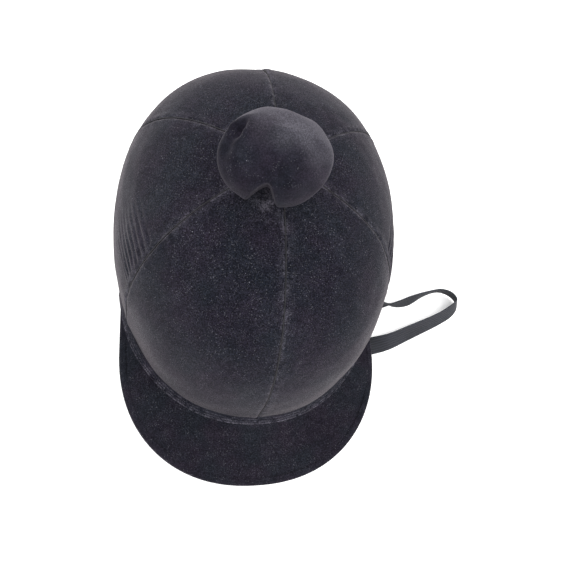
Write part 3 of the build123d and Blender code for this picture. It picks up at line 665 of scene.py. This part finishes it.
def peak_binding():
    """Cloth folded over the peak's edge, with a stitched channel on each side."""
    count = 320
    edge, along = peak_outline(0.0, count)
    travel = np.gradient(edge, axis=0)
    travel /= np.linalg.norm(travel, axis=1, keepdims=True)
    normal = np.stack([-travel[:, 1], travel[:, 0]], -1)
    inward = -normal * np.sign((normal * (edge - np.array([0, PEAK_CENTRE_Y]))).sum(1, keepdims=True))
    profile = [(5.6, 0.25), (4.4, 0.55), (3.0, 0.7), (1.7, 0.6), (0.7, 0.15), (0.15, -0.9), (0.0, -2.2)]
    profile += [(0.15, -3.6), (0.7, -4.7), (1.7, -5.2), (3.0, -5.3), (4.4, -5.15), (5.6, -4.85)]
    inner = [(5.7, -4.6), (1.7, -4.5), (1.7, -0.1), (5.7, -0.1)]
    loop = profile + inner
    rows = len(loop)
    pucker = 0.07 * np.sin(along * 2 * math.pi / 5.2)
    verts = []
    for k, (d, h) in enumerate(loop):
        plan = edge + inward * d
        z = peak_height(plan[:, 0], plan[:, 1]) + h * 0.82
        if k < len(profile):
            z = z + pucker * math.copysign(1, h)
        verts.append(np.concatenate([plan, z[:, None]], -1))
    verts = np.stack(verts, 1).reshape(-1, 3)
    faces = []
    for i in range(count - 1):
        for k in range(rows):
            m = (k + 1) % rows
            faces.append((i * rows + k, i * rows + m, (i + 1) * rows + m, (i + 1) * rows + k))
    faces.append(tuple(range(rows)))
    faces.append(tuple((count - 1) * rows + k for k in range(rows)))
    obj = new_object("peak_binding", verts, faces)
    # The outermost rows of the binding are drawn paler, a thin light line along the edge.
    tone_marks = [0.35 if d < 0.5 else 0.0 for d, _ in loop]
    set_field(obj, "pale_ridges_and_highlight", np.tile(tone_marks, count))
    return obj


dress(peak_sheet("peak_velvet_top", 0.0, 0.9, 1.9, "peak_velvet", 0.55), "peak_velvet", "cover", "peak_top_cloth")
dress(peak_sheet("peak_lining", 3.6, 4.2, 1.9, "under_cloth", -0.25, 9), "under_cloth", "cover", "peak_under_cloth")
dress(peak_binding(), "peak_velvet", "cover", "peak_edge_binding")

# ------------------------------------------------------------ band over the peak's seam

band_angles = np.radians(np.linspace(-73.5, 73.5, 300))
BAND_ROWS = 40


def band_heights(angle, lift):
    z = np.full(angle.shape, 12.0)
    for _ in range(5):
        p = dome_points(angle, rise_at_height(z), 0.0)
        z = peak_height(p[:, 0], p[:, 1]) + lift
    return z


def band_profile(along, width):
    """Three soft folds that step outwards over the peak, with grooves between them."""
    part = along / width
    slope = 3.4 * (1 - part) ** 1.3
    folds = 1.1 * bump_at(part - 0.10, 0.08) + 1.0 * bump_at(part - 0.38, 0.09) + 0.8 * bump_at(part - 0.68, 0.09)
    return 0.2 + slope * (part > 0.02) + folds - 0.3 * bump_at(part - 1, 0.05)


band = strip_on_dome(
    "brim_fold", band_angles, band_heights(band_angles, 0.5), band_heights(band_angles, 8.0),
    0.0, 0.2, band_profile, rows=BAND_ROWS, fade=np.clip((73.5 - np.abs(np.degrees(band_angles))) / 22, 0.04, 1),
)
part_up = np.linspace(0, 1, BAND_ROWS)
# The crests of the three folds are drawn paler.
crest = bump_at(part_up - 0.10, 0.07) + 0.8 * bump_at(part_up - 0.38, 0.07) + 0.7 * bump_at(part_up - 0.68, 0.07)
set_field(band, "pale_ridges_and_highlight", np.tile(0.5 * crest, 2 * len(band_angles)))
dress(band, "velvet", "cover", "brim_band")

# ------------------------------------------------------------ pompom

ball_low, ball_high = (np.array(v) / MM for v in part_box("pompom_skin"))
knot_low, knot_high = (np.array(v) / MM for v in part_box("pompom_knot"))
BALL = (ball_low + ball_high) / 2
RADII = (ball_high - ball_low) / 2
KNOT = (knot_low + knot_high) / 2


FOLD_VIEW = np.array([-0.191, -0.566, 0.802])
FOLD_RIGHT = np.array([0.966, -0.208, 0.083])
FOLD_APEX = np.array([-18.1, -44.2, 209.5])
FOLD_SQUASH = np.array([0.16, 0.78, 0.61])
# Direction towards which the pompom gets its painted sheen.
PAINTED_SHEEN_TOWARD = np.array([0.45, 0.75, 0.45])


def open_fold(p):
    """Draws the ball's lower edge up under an arch, as where the velvet is gathered into a tuck."""
    right = FOLD_RIGHT - (FOLD_RIGHT @ FOLD_VIEW) * FOLD_VIEW
    right /= np.linalg.norm(right)
    up = np.cross(FOLD_VIEW, right)
    across = (p - FOLD_APEX) @ right
    below = -((p - FOLD_APEX) @ up)
    behind = np.clip(-((p - FOLD_APEX) @ FOLD_VIEW), 0, 60)
    arch = np.where(across < 0, 9.5 * (np.abs(across) / 10.5) ** 1.7, 2.1 * across)
    lift = np.clip(below - arch - 0.10 * behind, 0, 30)
    inside = (across > -16) & (across < 8) & (below > 0) & (behind < 45)
    return p + up * np.where(inside, lift, 0)[:, None]


def relaxed(mesh, p, weight, rounds):
    """Evens out the points of a mesh where weight is above zero, and next to there."""
    ends = np.array([edge.vertices[:] for edge in mesh.edges])
    count = np.bincount(ends.ravel(), minlength=len(p))[:, None]
    for turn in range(rounds):
        total = np.zeros_like(p)
        np.add.at(total, ends[:, 0], p[ends[:, 1]])
        np.add.at(total, ends[:, 1], p[ends[:, 0]])
        if turn < 3:
            spread = np.zeros(len(p))
            np.maximum.at(spread, ends[:, 0], weight[ends[:, 1]])
            np.maximum.at(spread, ends[:, 1], weight[ends[:, 0]])
            weight = np.maximum(weight, 0.8 * spread)
        p = p + (total / count - p) * (0.6 * weight)[:, None]
    return p


def pompom():
    """Stuffed velvet ball on a short neck: one open fold low in front, and a dent on its far side."""
    made = bmesh.new()
    bmesh.ops.create_icosphere(made, subdivisions=7, radius=1.0)
    mesh = bpy.data.meshes.new("pompom_ball")
    made.to_mesh(mesh)
    made.free()
    unit = np.array([v.co for v in mesh.vertices])
    neck = (KNOT - BALL) / np.linalg.norm(KNOT - BALL)
    toward = np.clip(unit @ neck, -1, 1)
    polar = np.degrees(np.arccos(toward))
    side = np.cross(neck, [0.0, 0.0, 1.0])
    side /= np.linalg.norm(side)
    other = np.cross(neck, side)
    turn = np.arctan2(unit @ other, unit @ side)
    p = BALL + unit * RADII
    offset = 0.9 * waves(p, 60.0, 31) + 0.28 * waves(p, 22.0, 32)
    offset -= 1.6 * bump_at((unit @ FOLD_SQUASH - 1) / 0.35, 1.0) + 1.2 * bump_at((unit @ -FOLD_SQUASH - 1) / 0.35, 1.0)
    offset += 0.8 * np.sin(turn * 9 + 1.3 * np.sin(turn * 3)) * bump_at(polar - 24, 14)
    offset += crease(p, (-33.5, -12.0, 217.5), (-37.0, -16.5, 215.0), 5.2, 3.2)
    offset += crease(p, (-38.5, -18.0, 214.0), (-43.0, -27.0, 206.0), 1.6, 4.0)
    offset -= crease(p, (-17.0, -19.4, 225.0), (-1.0, -20.7, 224.4), 0.8, 1.7)
    offset += crease(p, (-24.0, -25.5, 222.5), (-5.0, -32.5, 221.5), 0.7, 3.5)
    offset += crease(p, (4.0, -24.0, 222.0), (17.0, -32.0, 212.0), 0.6, 4.0)
    p = p + unit * offset[:, None]
    sag = np.clip(-unit[:, 2] - 0.25, 0, 1) / 0.75
    p[:, 2] -= 1.8 * sag**0.8
    p[:, :2] += unit[:, :2] * (1.5 * bump_at(unit[:, 2] + 0.62, 0.25))[:, None]
    reach = np.clip((36 - polar) / 36, 0, 1) ** 1.4
    tip = KNOT + (BALL - KNOT) * 0.05
    p = p * (1 - reach[:, None]) + (tip + (unit - neck * toward[:, None]) * 11.0) * reach[:, None]
    folded = open_fold(p)
    near_fold = np.clip(np.linalg.norm(folded - p, axis=1) * 2, 0, 1)
    p = relaxed(mesh, folded, near_fold, 14)
    p[:, 2] = np.maximum(p[:, 2], HEIGHT + 0.9)
    mesh.vertices.foreach_set("co", (p * MM).ravel())
    mesh.update()
    for polygon in mesh.polygons:
        polygon.use_smooth = True
    obj = bpy.data.objects.new("pompom_ball", mesh)
    bpy.context.scene.collection.objects.link(obj)
    # Painted sheen: the side of the ball facing a fixed direction is marked to be drawn paler, as if lit, and the dent
    # is kept dark as painted shade.
    dent = bump_at(np.linalg.norm(p - np.array([-33.0, -13.0, 213.0]), axis=1), 6.0)
    painted_sheen_side = np.clip(unit @ PAINTED_SHEEN_TOWARD + 0.20 - 0.7 * dent + 0.08 * waves(p, 16.0, 33), 0, 0.8) ** 1.6
    set_field(obj, "painted_sheen_side", painted_sheen_side)
    return obj


def crease(p, start, end, depth, width):
    """Inward offset along a soft crease between two points."""
    start, end = np.array(start), np.array(end)
    line = end - start
    t = np.clip((p - start) @ line / (line @ line), 0, 1)
    away = np.linalg.norm(p - (start + t[:, None] * line), axis=1)
    depth = depth * (0.55 + 0.45 * np.sin(math.pi * t))
    return -depth * bump_at(away, width) + 0.3 * depth * bump_at(away - width * 1.9, width)


dress(pompom(), "pompom_velvet", "pompom", "pompom_skin", "pompom_wadding")

# ------------------------------------------------------------ linings and pads

full_turn = np.linspace(0, 2 * math.pi, 240, endpoint=False)


def lining():
    """Quilted cloth that lines the foam."""
    depth, rows = 23.4, 110
    low = rise_at_height(rim_height(full_turn) + 4.2, depth)
    points, rises, along = dome_grid(full_turn, low, np.full(240, 0.965), depth, rows)
    outward = points - np.array([0, 0, 60.0])
    outward /= np.linalg.norm(outward, axis=-1, keepdims=True)
    turn = full_turn[:, None] * 13 / 2
    quilt = np.abs(np.sin(turn + along * 0.045)) ** 0.5 * np.abs(np.sin(turn - along * 0.045)) ** 0.5
    quilt = quilt * np.clip((1 - rises) / 0.2, 0, 1)
    uv = np.stack([full_turn[:, None] * 90 + 0 * along, along], -1) * MM
    cloth = sheet("quilted_lining", points - outward * 0.15, points - outward * (0.6 + 1.7 * quilt)[..., None], uv, True)
    return cloth


def lining_cap():
    """Round panel that closes the lining at the crown."""
    rings, around = 12, 48
    top = HEIGHT - 23.4
    verts = [(0, 0, top - 1.2)]
    for ring in range(1, rings + 1):
        for k in range(around):
            a = 2 * math.pi * k / around
            rise = 1 - 0.035 * ring / rings
            p = dome_points(np.array([a]), np.array([rise]), 23.6)[0]
            verts.append((p[0], p[1], p[2] - 0.6 - 0.6 * math.cos(ring / rings * math.pi / 2)))
    faces = [(0, 1 + k, 1 + (k + 1) % around) for k in range(around)]
    for ring in range(rings - 1):
        for k in range(around):
            m = (k + 1) % around
            a, b = 1 + ring * around, 1 + (ring + 1) * around
            faces.append((a + k, b + k, b + m, a + m))
    obj = new_object("lining_cap", verts, faces)
    thick = obj.modifiers.new("thick", "SOLIDIFY")
    thick.thickness = 0.5 * MM
    return obj


dress(lining(), "lining_cloth", "skull", "lining_cloth")
dress(lining_cap(), "pad_cloth", "skull")


def sweatband_profile(along, width):
    part = along / width
    return -0.5 * (bump_at(part - 0.08, 0.02) + bump_at(part - 0.92, 0.02)) + 0.0 * part


band_low = rim_height(full_turn) + 6.2
sweatband = strip_on_dome(
    "sweatband_terry", full_turn, band_low, band_low + 33, 24.5, 1.5, sweatband_profile, True
)
dress(sweatband, "sweatband_cloth", "skull", "sweatband")


def simulate(obj, pressure, frames, cap):
    """Swells a closed mesh with Cloth, moving no point further than cap, and applies the result."""
    rest = np.array([v.co for v in obj.data.vertices])
    cloth = obj.modifiers.new("cloth", "CLOTH")
    cloth.settings.use_pressure = True
    cloth.settings.uniform_pressure_force = pressure
    cloth.settings.effector_weights.gravity = 0
    cloth.settings.quality = 5
    cloth.settings.tension_stiffness = 12
    cloth.settings.bending_stiffness = 0.6
    cloth.point_cache.frame_start = 1
    cloth.point_cache.frame_end = frames
    scene = bpy.context.scene
    for step in range(1, frames + 1):
        scene.frame_set(step)
    depsgraph = bpy.context.evaluated_depsgraph_get()
    swollen = obj.evaluated_get(depsgraph).to_mesh()
    now = np.array([v.co for v in swollen.vertices])
    obj.evaluated_get(depsgraph).to_mesh_clear()
    move = now - rest
    far = np.linalg.norm(move, axis=1, keepdims=True)
    move *= np.minimum(1, cap * MM / np.maximum(far, 1e-9))
    obj.modifiers.remove(cloth)
    obj.data.vertices.foreach_set("co", (rest + move).astype(np.float32).ravel())
    obj.data.update()
    scene.frame_set(1)


def soft_pad(name, node, shrink, cap, body="skull"):
    """Pad grown from its CAD solid: remeshed, slightly shrunk, swollen by Cloth and subdivided."""
    source = frame["nodes"][node]
    obj = bpy.data.objects.new(name, source.data.copy())
    bpy.context.scene.collection.objects.link(obj)
    remesh = obj.modifiers.new("remesh", "REMESH")
    remesh.mode = "VOXEL"
    remesh.voxel_size = 0.0022
    depsgraph = bpy.context.evaluated_depsgraph_get()
    solid = bpy.data.meshes.new_from_object(obj.evaluated_get(depsgraph))
    obj.modifiers.clear()
    obj.data = solid
    for polygon in solid.polygons:
        polygon.use_smooth = True
    normals = np.array([v.normal for v in solid.vertices])
    co = np.array([v.co for v in solid.vertices]) - normals * shrink * MM
    solid.vertices.foreach_set("co", co.astype(np.float32).ravel())
    simulate(obj, 3.0, 14, cap)
    smooth = obj.modifiers.new("smooth", "SMOOTH")
    smooth.iterations = 4
    obj.modifiers.new("fine", "SUBSURF").levels = 1
    obj.modifiers["fine"].render_levels = 1
    return dress(obj, "pad_cloth", body, node)


for pad in ("front_head_pad", "rear_head_pad", "side_head_pad_left", "side_head_pad_right", "crown_pad"):
    soft_pad(pad.replace("head_pad", "cushion").replace("crown_pad", "crown_cushion"), pad, 0.9, 1.4)

# ------------------------------------------------------------ tapes and elastic of the cover


def ribbed(along, width):
    return 0.18 * np.cos(along / width * 2 * math.pi * 4)


hem = rim_height(full_turn)
dress(
    strip_on_dome("hem_elastic_band", full_turn, hem + 3.6, hem + 11.8, 1.75, 0.4, ribbed, True),
    "elastic", "cover", "hem_elastic",
)
for side_name, sign in SIDES.items():
    arc = sign * np.linspace(FRONT_SEAM + math.radians(5.2), REAR_SEAM - math.radians(8.2), 90)
    rows = []
    for k in range(ELASTIC_ROWS):
        z = np.full(90, ELASTIC_FIRST_HEIGHT + ELASTIC_PITCH * k)
        rows.append(strip_on_dome(f"shirr_{side_name}_{k}", arc, z - 1.1, z + 1.1, 1.75, 0.35, ribbed))
    for row in rows:
        dress(row, "elastic", "cover")
    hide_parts(f"side_elastic_{side_name}")


def seam_tape(name, angle):
    """Woven tape behind a crown seam."""
    rows = 120
    low = rise_at_height(rim_height(np.array([angle]))[0] + 14.2)
    widths = np.linspace(-4.4, 4.4, 9)
    rises, length = even_rises(angle, low, 0.85, 1.75, rows)
    along = np.linspace(0, length, rows)
    reach = np.linalg.norm(dome_points(np.full(rows, angle), rises, 1.75)[:, :2], axis=1)
    angles = angle + widths[:, None] / reach[None, :]
    points = dome_points(angles, np.tile(rises, (9, 1)), 1.75)
    inner = dome_points(angles, np.tile(rises, (9, 1)), 2.15)
    uv = np.stack([np.tile(widths[:, None], (1, rows)), np.tile(along, (9, 1))], -1) * MM
    return sheet(name, points, inner, uv)


for label, angle in (
    ("front", 0.0), ("front_left", FRONT_SEAM), ("front_right", -FRONT_SEAM),
    ("rear_left", REAR_SEAM), ("rear_right", -REAR_SEAM), ("rear", math.pi),
):
    dress(seam_tape(f"seam_tape_{label}", angle), "tape_cloth", "cover")
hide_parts("seam_tapes")

# ------------------------------------------------------------ chin strap

WEB_WIDTH = 15.0
WEB_THICKNESS = 1.4
WEB_RIBS = 7


def smooth_path(stations, per_gap=10):
    """Catmull-Rom curve through stations of any number of values."""
    s = np.array(stations, float)
    s = np.concatenate([[2 * s[0] - s[1]], s, [2 * s[-1] - s[-2]]])
    out = []
    for i in range(1, len(s) - 2):
        for t in np.linspace(0, 1, per_gap, endpoint=False):
            a, b, c, d = s[i - 1], s[i], s[i + 1], s[i + 2]
            out.append(0.5 * (2 * b + (c - a) * t + (2 * a - 5 * b + 4 * c - d) * t**2 + (3 * b - a - 3 * c + d) * t**3))
    out.append(s[-2])
    return np.array(out)


def webbing(name, stations, body, node, seed):
    """Ribbed flat webbing through (x, y, z, roll in degrees, half width)."""
    path = smooth_path(stations)
    centre = path[:, :3]
    roll = np.radians(path[:, 3])[:, None]
    travel = np.gradient(centre, axis=0)
    travel /= np.linalg.norm(travel, axis=1, keepdims=True)
    level = np.stack([-travel[:, 1], travel[:, 0], np.zeros(len(travel))], -1)
    level /= np.linalg.norm(level, axis=1, keepdims=True)
    across = level * np.cos(roll) + np.array([0, 0, 1.0]) * np.sin(roll)
    through = np.cross(travel, across)
    through /= np.linalg.norm(through, axis=1, keepdims=True)
    length = np.concatenate([[0], np.cumsum(np.linalg.norm(np.diff(centre, axis=0), axis=1))])
    columns = WEB_RIBS * 6 + 1
    w = np.linspace(-1, 1, columns)
    ribs = np.abs(np.sin((w + 1) / 2 * math.pi * WEB_RIBS)) ** 0.7
    edge = np.clip((1 - np.abs(w)) / 0.06, 0, 1) ** 0.5
    half = (WEB_THICKNESS / 2 - 0.28 + 0.28 * ribs) * (0.45 + 0.55 * edge)
    wander = 0.25 * waves(centre, 30.0, seed)[:, None]
    reach = path[:, 4:5] * w[None] + wander * (1 - edge)[None]
    top = centre[:, None] + across[:, None] * reach[..., None] + through[:, None] * half[None, :, None]
    low = centre[:, None] + across[:, None] * reach[..., None] - through[:, None] * half[None, :, None]
    uv = np.stack([reach, np.broadcast_to(length[:, None], reach.shape)], -1) * MM
    return dress(sheet(name, top, low, uv), "webbing", body, node)


ring_low, ring_high = (np.array(v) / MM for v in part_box("strap_ring_left"))
RING = (ring_low + ring_high) / 2
RING_RADIUS = 9.0
HALF = WEB_WIDTH / 2
socket_low, socket_high = (np.array(v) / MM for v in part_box("buckle_socket"))
RUN_START = np.array([-72.0, -74.0, 3.8])
RUN_END = np.array([110.0, -33.0, 3.8])
RUN = (RUN_END - RUN_START) / np.linalg.norm(RUN_END - RUN_START)
BUCKLE = RUN_START + RUN * 62.0 + np.array([0, 0, 0.4])


def on_run(distance, lift=0.0):
    return tuple(RUN_START + RUN * (62.0 + distance) + np.array([0, 0, lift]))


strap_stations = [
    (RING[0] + RING_RADIUS - 2.6, RING[1], 4.6, 0, 2.6),
    (RING[0] + RING_RADIUS + 2.4, RING[1], 3.3, 0, 2.8),
    (102, -76, 3.1, 4, HALF),
    (112, -75.4, 3.2, 12, HALF),
    (128.6, -71, 5.4, 35, HALF),
    (152.8, -61.5, 6.6, 47, HALF),
    (175, -52.5, 7.7, 54, HALF),
    (190.7, -44.1, 8.2, 56, HALF),
    (198, -35.5, 8.6, 66, HALF),
    (193.2, -27.2, 8.6, 74, HALF),
    (182.3, -23.7, 8.5, 78, HALF),
    (167.5, -27.2, 8.5, 88, HALF),
    (151.8, -33.6, 8.4, 106, HALF),
    (140.4, -36.7, 8.2, 96, HALF),
    (131, -36.8, 7.6, 71, HALF),
    (122.5, -35.4, 5.6, 33, HALF),
    (115, -34, 4.1, 6, HALF),
    (*RUN_END, 0, HALF),
    (*on_run(60), 0, HALF),
    (*on_run(35), 0, HALF),
    (*on_run(31.4, 0.2), 0, HALF),
]
webbing("webbing_left", strap_stations, "left_strap", "chin_strap_left", 51)
right_ring = RING * np.array([-1, 1, 1])
right_stations = [
    (*(right_ring + RUN * (RING_RADIUS - 2.6) + np.array([0, 0, 1.4])), 0, 2.6),
    (*(right_ring + RUN * (RING_RADIUS + 2.4)), 0, 2.8),
    (*(right_ring + RUN * (RING_RADIUS + 13)), 0, HALF),
    (*on_run(-20.5), 0, HALF),
    (*on_run(-15.4, 0.2), 0, HALF),
]
webbing("webbing_right", right_stations, "right_strap", "chin_strap_right", 52)


def wrap(name, centre, axis, radius, width, body):
    """Webbing folded round a bar or a ring's wire."""
    axis = np.array(axis, float)
    axis /= np.linalg.norm(axis)
    out = np.cross(axis, [0, 0, 1.0])
    around, columns = 28, 19
    w = np.linspace(-width / 2, width / 2, columns)
    turn = np.linspace(0, 2 * math.pi, around, endpoint=False)
    ring = out[None] * np.cos(turn)[:, None] + np.array([0, 0, 1.0])[None] * np.sin(turn)[:, None]
    ribs = 0.12 * np.abs(np.sin(w / 1.6 * math.pi))
    outer = centre + ring[:, None] * (radius + 1.05 + ribs)[None, :, None] + axis * w[None, :, None]
    inner = centre + ring[:, None] * radius + axis * w[None, :, None]
    uv = np.stack(np.broadcast_arrays(w[None], turn[:, None] * radius), -1) * MM
    return dress(sheet(name, outer, inner, uv, True), "webbing", body)


side = np.array([-RUN[1], RUN[0], 0])
wrap("fold_ring_left", RING + np.array([RING_RADIUS, 0, 0]), (0, 1, 0), 1.7, 5.4, "left_strap")
wrap("fold_ring_right", right_ring + RUN * RING_RADIUS, side, 1.7, 5.4, "right_strap")
wrap("fold_socket", BUCKLE + RUN * 29.0, side, 1.5, 15.0, "left_strap")
wrap("fold_plug", BUCKLE - RUN * 13.0, side, 1.5, 15.0, "right_strap")


def keeper():
    """Elastic loop round the strap."""
    columns, around = 15, 64
    turn = np.linspace(0, 2 * math.pi, around, endpoint=False)
    power = 2 / 6.0
    ca, sa = np.cos(turn), np.sin(turn)
    shape = np.stack([np.sign(ca) * np.abs(ca) ** power, np.sign(sa) * np.abs(sa) ** power], -1)
    w = np.linspace(-4, 4, columns)
    low, high = (np.array(v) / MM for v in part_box("strap_keeper"))
    centre = (low + high) / 2
    swell = 0.22 * np.cos(w / 8 * 2 * math.pi * 4) - 0.3 * np.abs(w / 4) ** 6
    half_out = np.array([9.3, 2.5])
    half_in = np.array([8.1, 1.35])
    def ring(half, extra):
        flat = shape[:, None] * (half + extra[None, :, None])
        return centre + side * flat[..., :1] + np.array([0, 0, 1.0]) * flat[..., 1:] + RUN * w[None, :, None]
    uv = np.stack(np.broadcast_arrays(w[None], turn[:, None] * 7), -1) * MM
    return sheet("elastic_keeper", ring(half_out, swell), ring(half_in, np.zeros(columns)), uv, True)


dress(keeper(), "elastic", "keeper", "strap_keeper")

# ------------------------------------------------------------ hard parts keep their CAD shape

for node in ("buckle_socket", "buckle_plug", "buckle_prong_front", "buckle_prong_rear", "rim_trim"):
    edges = frame["nodes"][node].modifiers.new("edges", "BEVEL")
    edges.width = 0.35 * MM
    edges.segments = 2
    edges.angle_limit = math.radians(40)

# ------------------------------------------------------------ floor, light, camera


def stage_material():
    material, tree, shader = nodes_of("stage_white")
    shader.inputs["Base Color"].default_value = (0.93, 0.93, 0.93, 1)
    shader.inputs["Roughness"].default_value = 0.9
    shader.inputs["Emission Color"].default_value = (1, 1, 1, 1)
    shader.inputs["Emission Strength"].default_value = 0.25
    seen_from_below = add(tree, "ShaderNodeNewGeometry").outputs["Backfacing"]
    clear = add(tree, "ShaderNodeBsdfTransparent")
    either = add(tree, "ShaderNodeMixShader")
    tree.links.new(seen_from_below, either.inputs[0])
    tree.links.new(shader.outputs[0], either.inputs[1])
    tree.links.new(clear.outputs[0], either.inputs[2])
    tree.links.new(either.outputs[0], tree.nodes["Material Output"].inputs["Surface"])
    return material


def floor():
    size = 6.0
    mesh = bpy.data.meshes.new("stage_floor")
    mesh.from_pydata([(-size, -size, 0), (size, -size, 0), (size, size, 0), (-size, size, 0)], [], [(0, 1, 2, 3)])
    obj = bpy.data.objects.new("stage_floor", mesh)
    obj.location.z = cad_box[0][2] - 0.0002
    bpy.context.scene.collection.objects.link(obj)
    mesh.materials.append(stage_material())


def area_light(name, place, target, size, power):
    data = bpy.data.lights.new(name, "AREA")
    data.size = size
    data.energy = power
    obj = bpy.data.objects.new(name, data)
    obj.location = place
    obj.rotation_euler = (Vector(target) - Vector(place)).to_track_quat("-Z", "Y").to_euler()
    bpy.context.scene.collection.objects.link(obj)


def camera():
    """Looks down on the helmet from its front right, turned as a hand-held picture is."""
    azimuth, elevation, roll = math.radians(-31.04), math.radians(64.33), math.radians(29.07)
    target = Vector((25.15, -45.71, 59.96)) * MM
    distance = 457.74 * MM
    back = Vector((
        math.sin(azimuth) * math.cos(elevation),
        -math.cos(azimuth) * math.cos(elevation),
        math.sin(elevation),
    ))
    right = Vector((math.cos(azimuth), math.sin(azimuth), 0))
    up = back.cross(right)
    turned_right = right * math.cos(roll) + up * math.sin(roll)
    turned_up = up * math.cos(roll) - right * math.sin(roll)
    rotation = Matrix((turned_right, turned_up, back)).transposed()
    data = bpy.data.cameras.new("camera")
    data.sensor_width = 36.0
    data.lens = 579.6 / 580 * 36.0
    data.clip_start = 0.01
    obj = bpy.data.objects.new("camera", data)
    obj.matrix_world = Matrix.Translation(target + back * distance) @ rotation.to_4x4()
    bpy.context.scene.collection.objects.link(obj)
    bpy.context.scene.camera = obj


floor()
area_light("key_light", (-0.5, -0.9, 1.5), (0, 0, 0.05), 1.2, 26)
area_light("fill_light", (1.1, -0.2, 1.1), (0, 0, 0.05), 1.2, 14)
area_light("rim_light", (-0.3, 1.2, 0.9), (0, 0, 0.08), 1.0, 16)
world = bpy.data.worlds.new("studio")
bpy.context.scene.world = world
world.use_nodes = True
world.node_tree.nodes["Background"].inputs["Color"].default_value = (1, 1, 1, 1)
seen = world.node_tree.nodes.new("ShaderNodeLightPath").outputs["Is Camera Ray"]
world_strength = maths(world.node_tree, "ADD", 0.9, maths(world.node_tree, "MULTIPLY", seen, 0.2))
world.node_tree.links.new(world_strength, world.node_tree.nodes["Background"].inputs["Strength"])
bpy.context.scene.view_settings.view_transform = "Standard"
camera()
